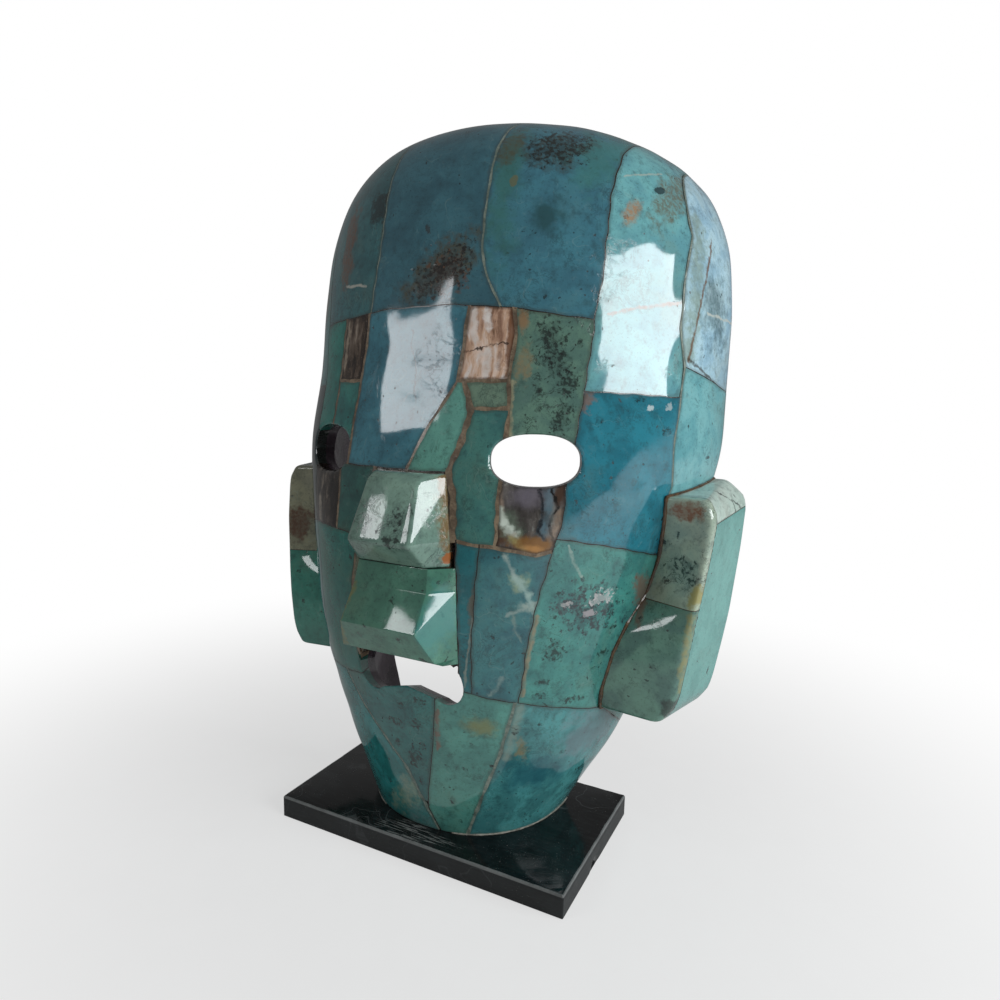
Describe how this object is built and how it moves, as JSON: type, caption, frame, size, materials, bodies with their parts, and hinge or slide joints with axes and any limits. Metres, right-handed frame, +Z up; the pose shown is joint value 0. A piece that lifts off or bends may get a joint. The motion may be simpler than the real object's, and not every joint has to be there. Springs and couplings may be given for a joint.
{
  "type": "abalone shell mask",
  "caption": "Stone-mosaic face mask with abalone inlays, open eyes and mouth, two-block nose and block ears, hollow behind, upright on a polished slab.",
  "frame": {"origin": "middle of the plinth's underside", "axes": "+Z up, the face looks along -Y, +X to the viewer's right"},
  "size_m": [0.2228, 0.1365, 0.307],
  "materials": {
    "blue_stone": "polished",
    "teal_stone": "polished",
    "green_stone": "polished",
    "pale_stone": "polished",
    "abalone": "polished shell",
    "resin_backing": "cast resin",
    "black_marble": "polished"
  },
  "bodies": {
    "root": {"temple_left": "teal_stone", "crown_left": "blue_stone", "crown_middle_left": "blue_stone", "crown_middle_right": "blue_stone", "temple_right": "teal_stone", "side_upper_left": "blue_stone", "side_upper_right": "blue_stone", "side_middle_left": "teal_stone", "side_middle_right": "pale_stone", "side_lower_left": "teal_stone", "side_lower_right": "teal_stone", "brow_green_left": "green_stone", "inlay_brow_left": "abalone", "brow_under_inlay_left": "green_stone", "brow_middle": "blue_stone", "inlay_brow_middle": "abalone", "brow_under_inlay_middle": "green_stone", "brow_speckled_right": "green_stone", "bridge_wedge": "teal_stone", "bridge_right": "teal_stone", "bridge_left": "teal_stone", "cheek_upper_left": "teal_stone", "inlay_cheek_left": "abalone", "inlay_cheek_right": "abalone", "cheek_upper_right": "blue_stone", "cheek_outer_left": "teal_stone", "cheek_inner_left": "teal_stone", "cheek_strip_right": "blue_stone", "cheek_inner_right": "blue_stone", "cheek_outer_right": "teal_stone", "chin_left": "teal_stone", "chin_speckled": "teal_stone", "chin_middle": "teal_stone", "chin_right": "pale_stone", "nose_upper": "green_stone", "nose_lower": "green_stone", "ear_face_lower_left": "teal_stone", "ear_face_upper_left": "green_stone", "ear_side_left": "pale_stone", "ear_cap_left": "teal_stone", "ear_face_lower_right": "teal_stone", "ear_face_upper_right": "green_stone", "ear_side_right": "pale_stone", "ear_cap_right": "teal_stone", "backing_shell": "resin_backing", "plinth": "black_marble"}
  },
  "joints": []
}
